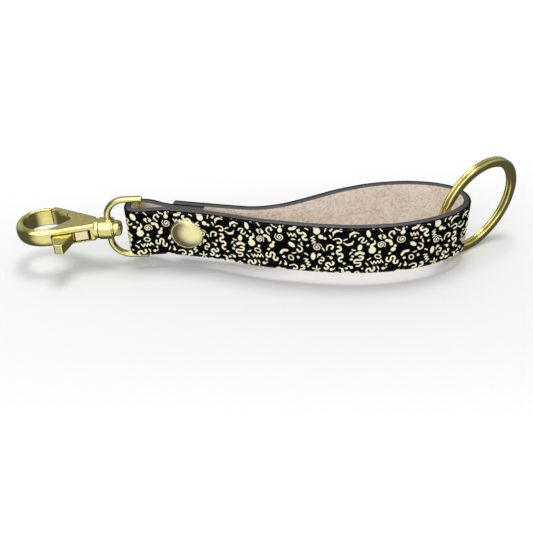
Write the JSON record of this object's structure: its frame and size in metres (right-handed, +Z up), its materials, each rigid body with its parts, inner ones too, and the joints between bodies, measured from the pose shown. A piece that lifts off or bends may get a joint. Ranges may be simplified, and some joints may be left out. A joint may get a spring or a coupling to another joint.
{
  "type": "wristlet keychain",
  "caption": "Looped leather wrist strap with printed face and suede lining, riveted round a swivel D-ring with a lobster-claw hook, and a split key ring threaded on the loop.",
  "frame": {"origin": "bottom centre of the whole object's box", "axes": "+X along the object from the hook to the key ring, +Z up, the camera side of the strap faces -Y"},
  "size_m": [0.1929, 0.0345, 0.0407],
  "materials": {
    "printed_leather": "black coated leather with a cream all-over print",
    "suede": "beige-pink suede",
    "edge_coat": "dark grey edge paint, satin",
    "rivet_brass": "polished, slightly satin",
    "hardware_brass": "satin cast brass with softened edges",
    "pin_brass": "satin brass, peened",
    "ring_brass": "polished drawn brass wire",
    "spring_strip": "bright rolled brass strip"
  },
  "bodies": {
    "strap": {"strap_outer_leather": "printed_leather", "strap_suede_lining": "suede", "edge_coat_lower": "edge_coat", "edge_coat_upper": "edge_coat", "rivet_front_cap": "rivet_brass", "rivet_socket": "rivet_brass", "rivet_post": "rivet_brass", "rivet_back_cap": "rivet_brass"},
    "d_ring": {"swivel_d_ring": "hardware_brass"},
    "hook": {"hook_body": "hardware_brass", "lever_pivot_pin": "pin_brass", "lever_spring": "spring_strip", "swivel_stud": "pin_brass", "swivel_washer": "pin_brass"},
    "lever": {"gate_lever": "hardware_brass"},
    "key_ring": {"split_ring": "ring_brass"}
  },
  "joints": [
    {"name": "d_ring_hinge", "type": "hinge", "parent": "strap", "child": "d_ring", "pos_m": [-0.0479, 0.0032, 0.0165], "axis": [0, 0, 1], "range_deg": [-115, 115]},
    {"name": "hook_swivel", "type": "hinge", "parent": "d_ring", "child": "hook", "pos_m": [-0.06185, 0.0032, 0.0165], "axis": [1, 0, 0], "continuous": true},
    {"name": "gate_hinge", "type": "hinge", "parent": "hook", "child": "lever", "pos_m": [-0.0729, 0.0082, 0.0165], "axis": [0, 0, 1], "range_deg": [0, 30], "stiffness_Nm_per_rad": 0.008, "springref_deg": -28.65, "deforming": ["lever_spring"]},
    {"name": "key_ring_swing", "type": "hinge", "parent": "strap", "child": "key_ring", "pos_m": [0.0735, 0.0009, 0.0165], "axis": [0, 0, 1], "range_deg": [-45, 1]}
  ]
}
